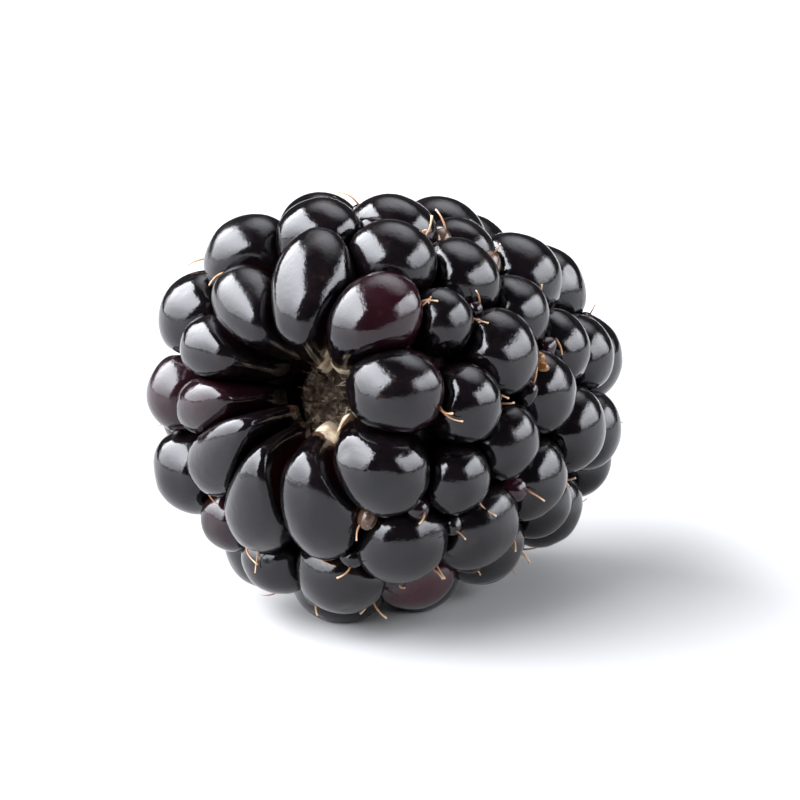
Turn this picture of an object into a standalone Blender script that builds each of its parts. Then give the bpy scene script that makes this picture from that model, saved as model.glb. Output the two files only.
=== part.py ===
"""A picked bramble berry, lying on its side.

Two solids: the drupelets, fused into one hollow head, and the pale receptacle that they grew on,
which shows at the bottom of the hollow that the stalk left.

Run with: blender --background --python part.py
Row frame: metres, +Z up, stem end towards -Y and raised, tip towards +Y, resting on z = 0.
"""

import bmesh
import bpy
import numpy as np

MM = 0.001

# The seat surface, a blunt egg on which the drupelets' centres lie
SEAT_RADIUS = 8.9 * MM
STEM_REACH = 7.8 * MM
TIP_REACH = 16.4 * MM
SHOULDER = 0.62
# Towards the stem end the axis bends by this much, sideways and up, at STEM_REACH
STEM_LEAN = np.array((1.9, 0.0, 1.4)) * MM

# How the berry lies: its axis is this steep, and its waist is centred here
AXIS_TILT = np.radians(10.1)
WAIST_PLACE = np.array((0.03, -4.65, 11.21)) * MM

# The rim round the hollow is uneven: azimuths of its drupelets, clockwise from the top, their
# half widths in mm, and how much longer each is towards the tip and inward, over the hollow
RIM_ANGLE = 31.0
RIM_AZIMUTHS = (8.0, 41.0, 82.0, 122.0, 157.0, 196.0, 229.0, 255.0, 282.0, 317.0)
RIM_SIZES = (2.15, 2.15, 2.3, 2.3, 2.2, 2.1, 1.8, 1.55, 1.75, 1.8)
RIM_STRETCHES = (1.5, 1.2, 1.08, 1.1, 1.3, 1.35, 1.3, 1.3, 1.2, 1.4)
RIM_INNER_STRETCHES = (1.7, 1.3, 1.1, 1.2, 1.6, 2.0, 2.5, 1.9, 1.5, 1.7)
# Behind it the drupelets stand in rings: steps along the meridian, and from one to the next
RIM_STEP = 4.3 * MM
RING_STEP = 3.6 * MM
DRUPELET_STEP = 4.15 * MM
# All the rings are turned this far round the axis, so that the berry lies on three of their drupelets
RING_TURN = np.radians(-106.0)

# A drupelet's half width while they settle, and its other half sizes as shares of the final one
DRUPELET_SIZE = 2.3 * MM
SIZE_SPREAD = 0.11
SMALL_SHARE = 0.07
SMALL_SIZE = 0.78
RISE = 0.98
ROOT = 1.25
# The rim's drupelets run this deep, in mm, and make the funnel down to the receptacle
RIM_ROOTS = (7.0, 7.0, 7.0, 7.0, 7.0, 6.5, 6.0, 4.4, 4.2, 4.6)

# How the rings are loosened, so that no drupelet lies quite in line
WANDER = np.radians(4.0)
SETTLING_STEPS = 60
SETTLING_PUSH = 0.22
RIM_FREEDOM = 0.15
CLOSENESS = 0.95
SEED = 294

# How far a drupelet then grows: a share of the half distance to its nearest neighbours
GROWTH = 1.14
NEIGHBOURS = 5

MERIDIAN_STEPS = 600
# Faceting of a drupelet, from its apex down to its sunk base
AROUND = 10
DOWN = 5
BASE_ANGLE = np.radians(126.0)

# The flesh that the drupelets stand on: a funnel at the stem end, down to the receptacle
FLESH_DEPTH = 0.63 * MM
FUNNEL_PROFILE = ((-2.0, 0.0), (-2.0, 2.6), (-4.8, 5.4))
FLESH_ANGLES = np.radians((52.0, 176.0))
FLESH_TIP_RADIUS = 0.2 * MM
FLESH_AROUND = 24
FLESH_DOWN = 10

# The receptacle: station and radius down its side, in mm, and then its blunt tip
RECEPTACLE_PROFILE = ((-2.6, 2.1), (-1.7, 2.6), (0.2, 2.9), (2.4, 2.7), (4.6, 2.2), (6.8, 1.4))
RECEPTACLE_TIP = 8.0 * MM
# The stalk pulled its mouth to one side and up: this far, less by the square of the way to the tip
PITH_PULL = np.array((0.55, 0.0, 0.5)) * MM
# The crater where the stalk tore out: shares of its radius and of its depth, from the middle
CRATER_RADIUS = 1.6 * MM
CRATER_DEPTH = 1.5 * MM
CRATER_PROFILE = ((0.0, 1.0), (0.4, 0.9), (0.75, 0.6), (0.94, 0.25))
# Its lip is torn: higher towards +X, with waves round it as (how many, share of TORN_HEIGHT)
TORN_SLANT = 0.6 * MM
TORN_HEIGHT = 0.3 * MM
TORN_WAVES = ((3, 1.0), (7, 0.6), (11, 0.4))
RECEPTACLE_AROUND = 24
# Room left round the receptacle, and in front of it, where it widens by MOUTH_FLARE
NODE_GAP = 0.3 * MM
MOUTH_ROOM = 2.6 * MM
MOUTH_FLARE = 0.8 * MM
GROUND_REACH = 30 * MM
SHARP_ANGLE = np.radians(50.0)


def meridian(angle):
    """Station along the axis and distance from it, at an angle from the stem-end pole: the cosine
    of an egg's outline, and its sine to the SHOULDER power."""
    reach = np.where(angle < np.pi / 2, STEM_REACH, TIP_REACH)
    return -reach * np.cos(angle), SEAT_RADIUS * np.abs(np.sin(angle)) ** SHOULDER


def lean(station):
    """How far the axis has bent at a station: by the square of its share of the stem's reach."""
    return STEM_LEAN * np.clip(-station / STEM_REACH, 0, None)[..., None] ** 2


def berry_point(station, distance, azimuth):
    """Points in the berry's own frame: Y along the axis to the tip, azimuth clockwise from +Z."""
    ring = np.stack((distance * np.sin(azimuth), station, distance * np.cos(azimuth)), axis=-1)
    return ring + lean(ring[..., 1])


def ring_angles():
    """Angles of the rings behind the rim, evenly spaced along the meridian. The last one stands
    half a step from the tip."""
    angle = np.linspace(np.radians(RIM_ANGLE), np.pi, MERIDIAN_STEPS)
    station, distance = meridian(angle)
    run = np.append(0, np.cumsum(np.hypot(np.diff(station), np.diff(distance))))
    rings = int(round((run[-1] - RIM_STEP) / RING_STEP + 0.5))
    return np.interp(np.linspace(RIM_STEP, run[-1] - RING_STEP / 2, rings), run, angle)


def seats():
    """Angle, azimuth, half width and rim mark of each drupelet, before they settle."""
    draw = np.random.default_rng(SEED)
    angles = [np.full(len(RIM_AZIMUTHS), np.radians(RIM_ANGLE))]
    azimuths = [np.radians(RIM_AZIMUTHS)]
    sizes = [np.array(RIM_SIZES) * MM]
    for ring in ring_angles():
        count = int(round(2 * np.pi * meridian(ring)[1] / DRUPELET_STEP))
        turn = RING_TURN + 2 * np.pi * (draw.uniform() + np.arange(count)) / count
        angles.append(ring + WANDER * draw.uniform(-1, 1, count))
        azimuths.append(turn + WANDER * draw.uniform(-1, 1, count))
        spread = 1 + SIZE_SPREAD * draw.uniform(-1, 1, count)
        small = draw.uniform(0, 1, count) < SMALL_SHARE
        sizes.append(DRUPELET_SIZE * np.where(small, SMALL_SIZE, spread))
    rim = np.arange(sum(map(len, angles))) < len(RIM_AZIMUTHS)
    return np.concatenate(angles), np.concatenate(azimuths), np.concatenate(sizes), rim


def settle(angle, azimuth, size, rim):
    """Pushes apart the drupelets that crowd each other, and brings each back to the seat surface."""
    freedom = np.where(rim, RIM_FREEDOM, 1.0)[:, None]
    room = CLOSENESS * (size[:, None] + size[None, :])
    for _ in range(SETTLING_STEPS):
        centre = berry_point(*meridian(angle), azimuth)
        apart = centre[:, None] - centre[None, :]
        distance = np.linalg.norm(apart, axis=2) + np.eye(len(size))
        crowding = np.clip(room - distance, 0, None) * (1 - np.eye(len(size)))
        push = (apart / distance[:, :, None] * crowding[:, :, None]).sum(axis=1)
        centre = centre + SETTLING_PUSH * freedom * push
        centre = centre - lean(centre[:, 1])
        across = np.hypot(centre[:, 0], centre[:, 2])
        reach = np.where(centre[:, 1] < 0, STEM_REACH, TIP_REACH)
        sine = np.clip(across / SEAT_RADIUS, 0, 1) ** (1 / SHOULDER)
        angle = np.arctan2(sine, -centre[:, 1] / reach)
        azimuth = np.arctan2(centre[:, 0], centre[:, 2])
    return angle, azimuth


def grown(angle, azimuth, size, rim):
    """Each drupelet's final half width. Those on the rim keep theirs, and the rest fill the room
    that their nearest neighbours leave them, the larger ones more of it."""
    centre = berry_point(*meridian(angle), azimuth)
    distance = np.linalg.norm(centre[:, None] - centre[None, :], axis=2)
    nearest = np.sort(distance, axis=1)[:, 1 : NEIGHBOURS + 1]
    return np.where(rim, size, GROWTH * nearest.mean(axis=1) / 2 * size / DRUPELET_SIZE)


def seat_axes(angle, azimuth):
    """Each seat's three directions: sideways, towards the tip, and outward."""
    step = 1e-4
    along = berry_point(*meridian(angle + step), azimuth) - berry_point(
        *meridian(angle - step), azimuth
    )
    tipward = along / np.linalg.norm(along, axis=1, keepdims=True)
    sideways = np.stack((np.cos(azimuth), np.zeros_like(azimuth), -np.sin(azimuth)), axis=-1)
    outward = np.cross(sideways, tipward)
    outward = outward / np.linalg.norm(outward, axis=1, keepdims=True)
    return np.stack((np.cross(tipward, outward), tipward, outward), axis=1)


def to_row_frame(points):
    """Tips the berry's axis down towards the tip, and puts its waist in place."""
    cosine, sine = np.cos(AXIS_TILT), np.sin(AXIS_TILT)
    tilt = np.array(((1, 0, 0), (0, cosine, sine), (0, -sine, cosine)))
    return points @ tilt.T + WAIST_PLACE


def directions(around, down):
    """Unit directions in a seat's own axes, in rows from the apex down to BASE_ANGLE."""
    polar = np.linspace(0, BASE_ANGLE, down + 1)[1:, None]
    turn = (2 * np.pi * np.arange(around) / around)[None, :]
    rows = np.stack(
        (np.sin(polar) * np.cos(turn), np.sin(polar) * np.sin(turn), np.cos(polar) + 0 * turn),
        axis=-1,
    ).reshape(-1, 3)
    return np.vstack(((0, 0, 1), rows, (0, 0, np.cos(BASE_ANGLE))))


def shapes(size, rim):
    """Each drupelet's half sizes, sideways, towards the tip and outward, then its reach towards
    the stem end, and its root's depth."""
    stretch = np.ones(len(size))
    stretch[rim] = RIM_STRETCHES
    inner = size.copy()
    inner[rim] = size[rim] * RIM_INNER_STRETCHES
    root = ROOT * size
    root[rim] = np.array(RIM_ROOTS) * MM
    return np.stack((size, size * stretch, size * RISE), axis=-1), inner, root


def drupelet_points(centre, axes, half, inner, root, looks):
    """A drupelet's surface: quarters of ellipsoids, longer towards the tip than towards the stem
    end or the other way round, and deeper for its root."""
    length = np.where(looks[:, 1] < 0, inner, half[1])
    depth = np.where(looks[:, 2] < 0, root, half[2])
    reach = np.stack((0 * depth + half[0], length, depth), axis=-1)
    return centre + (looks * reach) @ axes


def capped_faces(around, rows):
    """Faces of a closed grid whose first and last points are its poles."""
    last = 1 + around * rows
    faces = []
    for k in range(around):
        following = (k + 1) % around
        faces.append((0, 1 + k, 1 + following))
        for row in range(rows - 1):
            upper, lower = 1 + row * around, 1 + (row + 1) * around
            faces.append((upper + k, lower + k, lower + following, upper + following))
        bottom = 1 + (rows - 1) * around
        faces.append((bottom + k, last, bottom + following))
    return faces


def turned(profile, around):
    """A closed body turned round the berry's axis, from its stem end to its tip. Each row of the
    profile gives the station and radius round the turn, and the first and last are poles."""
    turn = -2 * np.pi * np.arange(around) / around
    rows = [
        berry_point(station + 0 * turn, radius + 0 * turn, turn)
        for station, radius in profile[1:-1]
    ]
    poles = [berry_point(*end, 0.0)[None, :] for end in (profile[0], profile[-1])]
    return np.vstack((poles[0], *rows, poles[1])), capped_faces(around, len(rows))


def solid(name, points, faces):
    """A named object in the scene, from points in the row frame."""
    mesh = bpy.data.meshes.new(name)
    mesh.from_pydata(points.tolist(), [], faces)
    mesh.update()
    made = bpy.data.objects.new(name, mesh)
    bpy.context.scene.collection.objects.link(made)
    return made


def combine(target, operation, others):
    """Joins other objects to the target, or cuts them from it, and removes them."""
    group = bpy.data.collections.new(operation)
    bpy.context.scene.collection.children.link(group)
    for other in others:
        bpy.context.scene.collection.objects.unlink(other)
        group.objects.link(other)
    change = target.modifiers.new(operation, "BOOLEAN")
    change.operation = operation
    change.solver = "EXACT"
    change.operand_type = "COLLECTION"
    change.collection = group
    graph = bpy.context.evaluated_depsgraph_get()
    result = bpy.data.meshes.new_from_object(target.evaluated_get(graph))
    target.modifiers.clear()
    target.data = result
    for other in list(group.objects):
        bpy.data.objects.remove(other)
    bpy.data.collections.remove(group)


def keep_outer_shell(mesh):
    """Fills the small hollows that fusing seals, by keeping only the surface with most points."""
    shape = bmesh.new()
    shape.from_mesh(mesh)
    unseen = set(shape.verts)
    shells = []
    while unseen:
        front = [unseen.pop()]
        shell = list(front)
        while front:
            vertex = front.pop()
            for edge in vertex.link_edges:
                other = edge.other_vert(vertex)
                if other in unseen:
                    unseen.discard(other)
                    shell.append(other)
                    front.append(other)
        shells.append(shell)
    shells.sort(key=len)
    inner = [vertex for shell in shells[:-1] for vertex in shell]
    bmesh.ops.delete(shape, geom=inner, context="VERTS")
    shape.to_mesh(mesh)
    shape.free()


def flesh():
    """The flesh under the drupelets: the funnel, and then the seat surface less a depth."""
    funnel = [(station * MM, radius * MM) for station, radius in FUNNEL_PROFILE]
    station, distance = meridian(np.linspace(*FLESH_ANGLES, FLESH_DOWN))
    distance = np.clip(distance - FLESH_DEPTH, FLESH_TIP_RADIUS, None)
    tip = TIP_REACH - FLESH_DEPTH
    station = np.clip(station, None, tip)
    points, faces = turned([*funnel, *zip(station, distance), (tip, 0.0)], FLESH_AROUND)
    return solid("flesh", to_row_frame(points), faces)


def crater_rows(mouth, radius):
    """Rows from the crater's floor up to its torn lip, and over the lip to the side."""
    turn = 2 * np.pi * np.arange(RECEPTACLE_AROUND) / RECEPTACLE_AROUND
    torn = TORN_HEIGHT * sum(share * np.sin(count * turn + count) for count, share in TORN_WAVES)
    torn = torn + TORN_SLANT * np.sin(turn)
    rows = [
        (mouth + deep * CRATER_DEPTH, across * CRATER_RADIUS) for across, deep in CRATER_PROFILE
    ]
    rows.append((mouth + torn, CRATER_RADIUS))
    rows.append((mouth + torn - TORN_HEIGHT / 2, (CRATER_RADIUS + radius) / 2))
    rows.append((mouth + torn / 2, radius))
    return rows


def receptacle_side(wider):
    """Rows down the receptacle's side, from its mouth to the last before its tip."""
    return [(station * MM, radius * MM + wider) for station, radius in RECEPTACLE_PROFILE]


def pulled(points):
    """Points of the receptacle or of its room, moved as the stalk pulled them."""
    mouth = RECEPTACLE_PROFILE[0][0] * MM
    share = (RECEPTACLE_TIP - points[:, 1:2]) / (RECEPTACLE_TIP - mouth)
    return points + PITH_PULL * np.clip(share, 0, 1) ** 2


def receptacle():
    """The receptacle, with its torn crater."""
    side = receptacle_side(0.0)
    rows = crater_rows(*side[0]) + side[1:] + [(RECEPTACLE_TIP, 0.0)]
    points, faces = turned(rows, RECEPTACLE_AROUND)
    return solid("receptacle", to_row_frame(pulled(points)), faces)


def receptacle_room():
    """The room for the receptacle, which runs out through the funnel in front of it."""
    side = receptacle_side(NODE_GAP)
    outside = side[0][0] - MOUTH_ROOM
    rows = [(outside, 0.0), (outside, side[0][1] + MOUTH_FLARE)] + side
    points, faces = turned(rows + [(RECEPTACLE_TIP + NODE_GAP, 0.0)], RECEPTACLE_AROUND)
    return solid("room", to_row_frame(pulled(points)), faces)


def ground():
    """A block whose top is the surface that the berry rests on."""
    corners = [(x, y, z) for x in (-1, 1) for y in (-1, 1) for z in (-1, 0)]
    faces = [(0, 1, 3, 2), (4, 6, 7, 5), (0, 4, 5, 1), (2, 3, 7, 6), (0, 2, 6, 4), (1, 5, 7, 3)]
    return solid("ground", np.array(corners) * GROUND_REACH, faces)


def skin(name, colour, roughness):
    """A Principled material with the part's colour and roughness."""
    made = bpy.data.materials.new(name)
    made.use_nodes = True
    shader = made.node_tree.nodes["Principled BSDF"]
    shader.inputs["Base Color"].default_value = (*colour, 1)
    shader.inputs["Roughness"].default_value = roughness
    return made


def finish(target, material):
    """Smooth shading and the material."""
    target.data.shade_smooth()
    target.data.set_sharp_from_angle(angle=SHARP_ANGLE)
    target.data.materials.clear()
    target.data.materials.append(material)


def main():
    for old in list(bpy.data.objects):
        bpy.data.objects.remove(old)
    angle, azimuth, size, rim = seats()
    angle, azimuth = settle(angle, azimuth, size, rim)
    shape = shapes(grown(angle, azimuth, size, rim), rim)
    centre = berry_point(*meridian(angle), azimuth)
    axes = seat_axes(angle, azimuth)
    looks = directions(AROUND, DOWN)
    faces = capped_faces(AROUND, DOWN)
    drupelets = []
    for index, seat in enumerate(zip(centre, axes, *shape)):
        points = to_row_frame(drupelet_points(*seat, looks))
        drupelets.append(solid(f"drupelet_{index}", points, faces))
    head = flesh()
    combine(head, "UNION", drupelets)
    keep_outer_shell(head.data)
    combine(head, "DIFFERENCE", [receptacle_room(), ground()])
    head.name = "drupelets"
    finish(head, skin("drupelet skin", (0.012, 0.008, 0.014), 0.16))
    finish(receptacle(), skin("receptacle pith", (0.62, 0.50, 0.33), 0.85))


main()
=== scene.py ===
"""A picked bramble berry lying on its side, dressed over its solid frame.

Every drupelet of the frame is made again here as a taut skin that its neighbours flatten, on the
same seats and at the same sizes. Between them go the flesh, the torn receptacle with its fibres,
the dried styles, and the few carpels that never filled.
"""

import bpy
import numpy as np
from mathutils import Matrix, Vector


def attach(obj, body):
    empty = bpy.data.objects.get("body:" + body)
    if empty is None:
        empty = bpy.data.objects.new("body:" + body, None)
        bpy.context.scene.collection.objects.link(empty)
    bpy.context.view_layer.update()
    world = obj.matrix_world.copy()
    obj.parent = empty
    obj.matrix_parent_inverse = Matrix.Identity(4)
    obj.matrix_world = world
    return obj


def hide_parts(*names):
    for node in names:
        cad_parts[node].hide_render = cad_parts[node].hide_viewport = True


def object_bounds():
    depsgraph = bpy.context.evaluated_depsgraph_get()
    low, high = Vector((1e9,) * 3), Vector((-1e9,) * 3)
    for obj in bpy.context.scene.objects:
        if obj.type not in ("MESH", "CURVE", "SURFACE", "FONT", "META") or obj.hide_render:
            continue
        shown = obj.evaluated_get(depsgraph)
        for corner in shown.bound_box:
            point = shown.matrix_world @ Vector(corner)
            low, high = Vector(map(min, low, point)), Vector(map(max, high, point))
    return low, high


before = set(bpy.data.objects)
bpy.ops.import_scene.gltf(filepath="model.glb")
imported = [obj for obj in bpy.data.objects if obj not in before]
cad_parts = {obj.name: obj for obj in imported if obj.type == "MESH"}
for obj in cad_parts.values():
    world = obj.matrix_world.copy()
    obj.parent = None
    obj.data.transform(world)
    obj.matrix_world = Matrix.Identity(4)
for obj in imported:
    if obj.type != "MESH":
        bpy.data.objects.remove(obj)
CAD_BOX = [list(corner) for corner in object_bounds()]

MM = 0.001

# ---- The seats of the drupelets, by the rule that also places the solid ones ----

# The seat surface, a blunt egg on which the drupelets' centres lie
SEAT_RADIUS = 8.9 * MM
STEM_REACH = 7.8 * MM
TIP_REACH = 16.4 * MM
SHOULDER = 0.62
# Towards the stem end the axis bends by this much, sideways and up, at STEM_REACH
STEM_LEAN = np.array((1.9, 0.0, 1.4)) * MM
# How the berry lies: its axis is this steep, and its waist is centred here
AXIS_TILT = np.radians(10.1)
WAIST_PLACE = np.array((0.03, -4.65, 11.21)) * MM

# The rim's drupelets, round the hollow: azimuths clockwise from the top, half widths in mm, how
# much longer each is towards the tip and inward, over the hollow, and how deep it runs in mm
RIM_ANGLE = 31.0
RIM_AZIMUTHS = (8.0, 41.0, 82.0, 122.0, 157.0, 196.0, 229.0, 255.0, 282.0, 317.0)
RIM_SIZES = (2.15, 2.15, 2.3, 2.3, 2.2, 2.1, 1.8, 1.55, 1.75, 1.8)
RIM_STRETCHES = (1.5, 1.2, 1.08, 1.1, 1.3, 1.35, 1.3, 1.3, 1.2, 1.4)
RIM_INNER_STRETCHES = (1.7, 1.3, 1.1, 1.2, 1.6, 2.0, 2.5, 1.9, 1.5, 1.7)
RIM_ROOTS = (7.0, 7.0, 7.0, 7.0, 7.0, 6.5, 6.0, 4.4, 4.2, 4.6)

# The rings behind it: steps along the meridian and from one drupelet to the next, and their turn
RIM_STEP = 4.3 * MM
RING_STEP = 3.6 * MM
DRUPELET_STEP = 4.15 * MM
RING_TURN = np.radians(-106.0)

# A drupelet's half width while they settle, and its other half sizes as shares of the final one
DRUPELET_SIZE = 2.3 * MM
SIZE_SPREAD = 0.11
SMALL_SHARE = 0.07
SMALL_SIZE = 0.78
RISE = 0.98
ROOT = 1.25

# How the rings are loosened, and how far each drupelet then grows towards its neighbours
WANDER = np.radians(4.0)
SETTLING_STEPS = 60
SETTLING_PUSH = 0.22
RIM_FREEDOM = 0.15
CLOSENESS = 0.95
SEED = 294
GROWTH = 1.14
NEIGHBOURS = 5
MERIDIAN_STEPS = 600

# ---- The fine skins ----

AROUND = 56
DOWN = 30
BASE_ANGLE = np.radians(150.0)
# How tightly a skin rounds into the walls between neighbours, and how far it goes past them
PRESSING = 11.0
OVERLAP = 0.035 * MM
# A skin that has lost this share of its reach to pressing lies fully in the crease
# There its colour takes the full painted shade and painted red glow
CREASE_LOSS = 0.22
# Below its seat a rim drupelet tapers by this power of the sine
PETAL_FULLNESS = 0.62

# Slow lumps on every drupelet, as shares of its reach, and the dimple that its style leaves
LUMP_SEED = 31
LUMPS = 6
LUMP_PITCHES = (1.5, 4.5)
LUMP_DEPTH = 0.0288
DIMPLE_DEPTH = 0.05
DIMPLE_WIDTH = 0.012
# Dents and swellings of each drupelet: how many, ranges of their depth as a share of the reach
# and of their width, and how they lean outward
DENTS = 4
DENT_DEPTHS = (-0.020, 0.034)
DENT_WIDTHS = (0.006, 0.05)
DENT_LEAN = (0, 0, 0.8)
# Single dents: seat, way in its own axes, depth and width
NOTCHES = ((2, (0.19, -0.96, 0.19), 0.11, 0.035), (3, (0.21, -0.90, 0.39), 0.05, 0.03))

# Drupelets still ruby: seat, how ruby it is, and the way of its ruby side in its own axes
BLUSHES = (
    (1, 0.16, (0.4, 0.7, 0.6)),
    (7, 0.10, (-0.1, -0.6, 0.8)),
    (10, 0.14, (-0.3, -0.8, 0.5)),
    (21, 0.12, (-0.3, -0.8, 0.5)),
    (32, 0.55, (-0.6, -0.8, 0.2)),
)
# The share of the others that are faintly ruby, how ruby those are, and the way their ruby sides
# lean. Round each, the blush is an even part and one by the cosine from its ruby side
BLUSH_SHARE = 0.12
FAINT_BLUSH = 0.12
BLUSH_LEAN = (0.8, 0.6, 0)
BLUSH_EVEN = 0.25
BLUSH_FADE = 0.8

# ---- What lies between them ----

# The carpels that never filled: the share of the crevices that hold one, their half widths, how
# far they stand out as a share of the drupelets' half widths, and the share of them that dried
CARPEL_SEED = 5
CARPEL_SHARE = 0.45
CARPEL_SIZES = np.array((0.45, 0.95)) * MM
CARPEL_RISE = 0.42
CARPEL_AROUND = 20
CARPEL_DOWN = 12
CARPEL_BASE = np.radians(165.0)
DRY_SHARE = 0.12
DRY_LOOK = 0.42
# The slow wave on each and how much its top is drawn out, as shares of its half width, and how
# near to the ground it may come
CARPEL_WAVE = 0.14
CARPEL_POINT = 0.3
CARPEL_CLEARANCE = 0.05 * MM
# How far it slants, and how far up its style stands, as a share of its half width
CARPEL_SLANT = 0.35
CARPEL_TOP = 1.2
# How ruby the reddest one is, and how satin the black ones are
CARPEL_RUBY = 0.3
CARPEL_SATIN = 0.6
# Unripe amber ones: the three drupelets round each, its half width, and its shift in that crevice
AMBERS = ((29, 41, 42, 0.45, (-0.1, -1.2)), (29, 41, 42, 0.36, (0.0, -0.6)))
AMBER_RISE = 0.45 * MM
# Three drupelets share a crevice if each two lie within this share of touching
TOUCHING = 1.13

# Dried styles: the share of the drupelets that keep one, and how many of these keep two
STYLE_SEED = 53
STYLE_SHARE = 0.9
SECOND_STYLES = 30
STYLE_LENGTHS = np.array((0.6, 1.35)) * MM
STYLE_RADII = np.array((0.05, 0.08)) * MM
# Where on the drupelet one stands: how far to a side and how far outward, as shares of how far
# tipward, and how far each of the three strays
STYLE_SIDES = (-0.5, 0.5)
STYLE_RISES = (0.15, 0.6)
STYLE_SCATTER = (0.1, 0.04, 0.06)
# The way it grows: shares of the way to its place, of the drupelet's outward one, and along the
# skin
STYLE_WAY = (0.65, 0.45, 0.8)
STYLE_AROUND = 7
# How much a style thins to its tip, and the knob of the dried stigma there: size and width
STYLE_THINNING = 0.45
STIGMA_SWELLING = 0.5
STIGMA_WIDTH = 0.09
# How far a style may stand out of the solids' box, and how near to the ground it may come
STYLE_ROOM = 0.5 * MM
STYLE_CLEARANCE = 0.15 * MM
# Stations along a style or a fibre, and the share of it that is sunk where it starts
HAIR_STATIONS = 12
HAIR_ROOT = 0.12
# How far one bends and hooks by its tip, as shares of its length, and how far its way strays
HAIR_CURLS = (0.15, 0.7)
HAIR_HOOKS = (-0.6, 0.6)
HAIR_STRAY = 0.5

# The flesh, from the funnel round the hollow to its blunt tip
FLESH_DEPTH = 1.3 * MM
FUNNEL_PROFILE = ((-1.9, 2.4), (-4.4, 5.2))
FLESH_ANGLES = np.radians((52.0, 176.0))
FLESH_TIP_RADIUS = 0.2 * MM
FLESH_AROUND = 96
FLESH_DOWN = 40

# ---- The receptacle ----

# Station and radius down its side, in mm, and then its blunt tip
RECEPTACLE_PROFILE = ((-2.6, 2.1), (-1.7, 2.6), (0.2, 2.9), (2.4, 2.7), (4.6, 2.2), (6.8, 1.4))
RECEPTACLE_TIP = 8.0 * MM
RECEPTACLE_AROUND = 200
# The open way in to it, in mm: how far out it runs, and how much wider it is there
MOUTH_ROOM = 2.6
MOUTH_FLARE = 0.8
# The stalk pulled its mouth to one side and up, and the flesh within PULL_REACH of the axis too
PITH_PULL = np.array((0.55, 0.0, 0.5)) * MM
PULL_REACH = 5.0 * MM
# How far the skins and the flesh sink into its side
PITH_SINK = 0.1 * MM

# The crater where the stalk tore out, its lip, and the side: how many rows each has
CRATER_RADIUS = 1.7 * MM
CRATER_DEPTH = 1.1 * MM
CRATER_ROWS = 22
LIP_ROWS = 8
SIDE_ROWS = 23
RECEPTACLE_SEED = 7
# The crater's first row, as a share of its radius, and the side's, this far below the mouth
FIRST_SHARE = 0.06
SIDE_START = 0.8 * MM
# Waves that tear the lip, as (how many, share of TORN_HEIGHT), and how far it fell in between
TORN_HEIGHT = 0.22 * MM
TORN_WAVES = ((2, 1.0), (3, 0.9), (5, 0.8), (9, 0.6), (14, 0.5), (23, 0.45), (37, 0.3))
LIP_DROP = 0.3 * MM
# Fibres that show as waves round the wall, the lip and the side, and pits on the crater's floor,
# each alike over PIT_ROWS rows
FIBRE_WAVES = (13, 19, 29, 41, 57)
WALL_FIBRE = 0.06 * MM
LIP_FIBRE = 0.05 * MM
SIDE_FIBRE = 0.04 * MM
PIT_WAVES = (2, 4, 7, 12)
PIT_DEPTH = 0.07 * MM
PIT_ROWS = 4
# Over the lip the tears fade by this share, it rounds by this share of them, and the side below
# it keeps this share of the flaps' cream
LIP_FADE = 0.35
LIP_ROUND = 0.4
SIDE_CREAM = 0.5

# Flaps of cream pith left standing round the torn lip: azimuth, half spread, height and flare
FLAPS = ((34.0, 26.0, 0.6, 0.4), (148.0, 30.0, 0.7, 0.6))
# Pith that stays stuck to the drupelets: how far from the axis, how much farther beside a flap,
# over what width it thins out, the least share of it away from a flap, and between which stations
STUCK_REACH = 2.3 * MM
STUCK_MORE = 1.3 * MM
STUCK_FADE = 0.6 * MM
STUCK_LEAST = 0.3
STUCK_STATIONS = (-7.6 * MM, -6.4 * MM)

# Torn fibres that stand round the crater, their lengths and radii in mm
FIBRES = 110
FIBRE_SEED = 19
FIBRE_LENGTHS = (0.3, 0.95)
FIBRE_RADII = (0.025, 0.06)
FIBRE_AROUND = 6
# They stand at these shares of its radius, this far below the mouth or deeper down the crater,
# and this share of its height up a flap
FIBRE_SHARES = (0.35, 1.25)
FIBRE_DROP = 0.25 * MM
FIBRE_RISE = 0.6
# Their way: towards the stem end, and outward past FIBRE_OUTSIDE or inward before it
FIBRE_WAY = (0, -0.8, 0)
FIBRE_OUTSIDE = 0.9
FIBRE_OUTWARD = 0.6
FIBRE_INWARD = 0.24


def meridian(angle):
    """Station along the axis and distance from it, at an angle from the stem-end pole: the cosine
    of an egg's outline, and its sine to the SHOULDER power."""
    reach = np.where(angle < np.pi / 2, STEM_REACH, TIP_REACH)
    return -reach * np.cos(angle), SEAT_RADIUS * np.abs(np.sin(angle)) ** SHOULDER


def lean(station):
    """How far the axis has bent at a station: by the square of its share of the stem's reach."""
    return STEM_LEAN * np.clip(-station / STEM_REACH, 0, None)[..., None] ** 2


def berry_point(station, distance, azimuth):
    """Points in the berry's own frame: Y along the axis to the tip, azimuth clockwise from +Z."""
    ring = np.stack((distance * np.sin(azimuth), station, distance * np.cos(azimuth)), axis=-1)
    return ring + lean(ring[..., 1])


def ring_angles():
    """Angles of the rings behind the rim, evenly spaced along the meridian. The last one stands
    half a step from the tip."""
    angle = np.linspace(np.radians(RIM_ANGLE), np.pi, MERIDIAN_STEPS)
    station, distance = meridian(angle)
    run = np.append(0, np.cumsum(np.hypot(np.diff(station), np.diff(distance))))
    rings = int(round((run[-1] - RIM_STEP) / RING_STEP + 0.5))
    return np.interp(np.linspace(RIM_STEP, run[-1] - RING_STEP / 2, rings), run, angle)


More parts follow.
